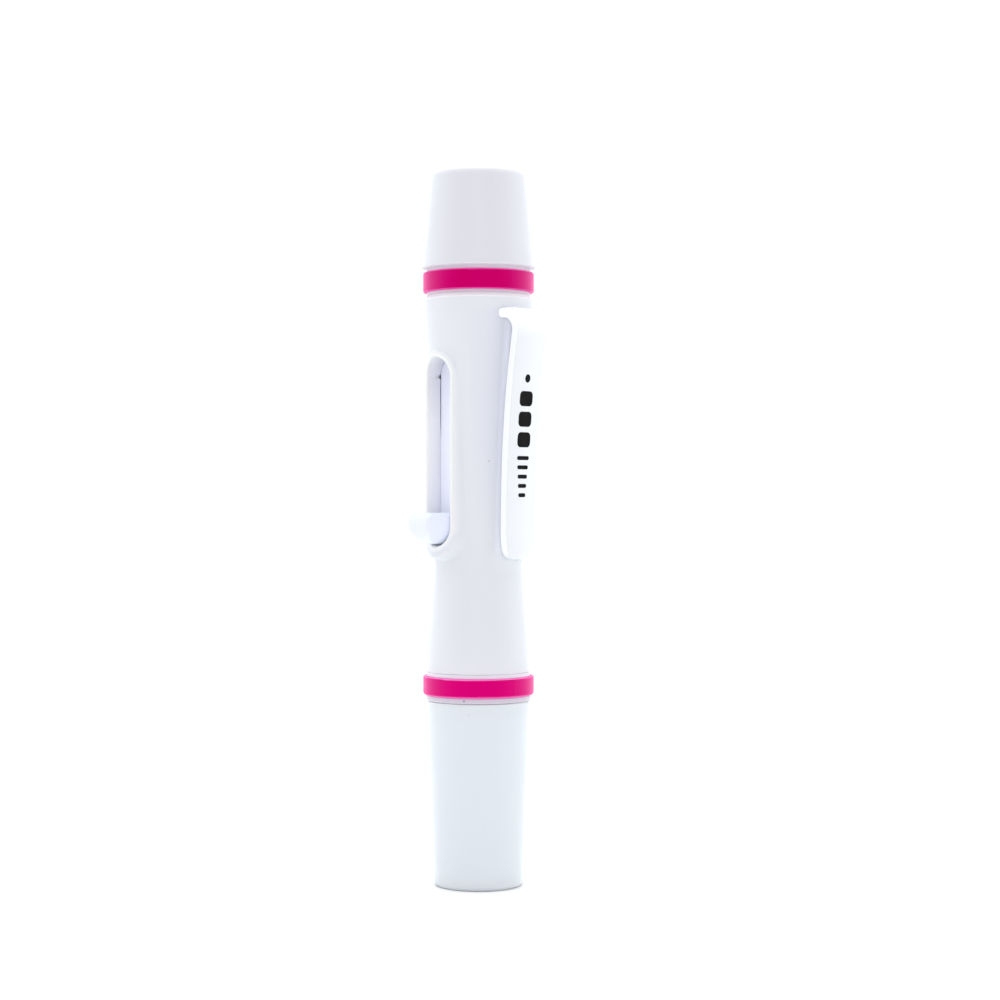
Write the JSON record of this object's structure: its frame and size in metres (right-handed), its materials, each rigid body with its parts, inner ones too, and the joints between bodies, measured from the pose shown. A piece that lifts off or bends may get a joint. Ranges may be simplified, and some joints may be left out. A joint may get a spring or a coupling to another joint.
{
  "type": "lens cleaning pen",
  "caption": "Slim round pen with a waisted barrel, a thumb slide that pushes a brush out of its nose, a pocket clip, and a cap over a small cleaning tip.",
  "frame": {"origin": "centre of the cap's flat bottom face, on the pen's axis", "axes": "+Z along the pen's axis towards the brush mouth, -Y towards the thumb button"},
  "size_m": [0.0202, 0.0208, 0.1134],
  "materials": {
    "white_plastic": "glossy moulded white",
    "magenta_plastic": "glossy moulded magenta",
    "black_plastic": "satin moulded black",
    "black_rubber": "matte moulded rubber",
    "glue": "cured clear amber glue",
    "hair": "soft dark hair",
    "foam": "fine open foam",
    "chamois": "fine napped leather, dark with dry compound",
    "compound_pad": "felt charged with dry carbon compound"
  },
  "bodies": {
    "pen_body": {"barrel": "white_plastic", "nose_cone": "white_plastic", "front_band": "magenta_plastic", "rear_band": "magenta_plastic", "tip_holder": "white_plastic", "tip_backing": "black_rubber", "tip_cushion": "foam", "tip_chamois": "chamois"},
    "slider": {"brush_carriage": "white_plastic", "thumb_button": "white_plastic", "brush_ferrule": "black_plastic", "tuft_glue": "glue", "brush_bristles": "hair"},
    "grip_ring": {"cap_grip_ring": "black_rubber"},
    "cap": {"cap_shell": "white_plastic", "reservoir_cup": "black_plastic", "reservoir_pad": "compound_pad"},
    "clip": {"pocket_clip": "white_plastic"}
  },
  "joints": [
    {"name": "brush_slide", "type": "slide", "parent": "pen_body", "child": "slider", "axis": [0, 0, 1], "range_m": [0, 0.022]},
    {"name": "cap_twist", "type": "hinge", "parent": "pen_body", "child": "grip_ring", "pos_m": [0, 0, 0.025], "axis": [0, 0, 1], "continuous": true},
    {"name": "cap_pull", "type": "slide", "parent": "grip_ring", "child": "cap", "axis": [0, 0, -1], "range_m": [0, 0.035]},
    {"name": "clip_flex", "type": "hinge", "parent": "pen_body", "child": "clip", "pos_m": [0.00771, 0.00214, 0.0912], "axis": [0.2672, -0.9636, 0], "range_deg": [0, 4], "stiffness_Nm_per_rad": 2}
  ]
}
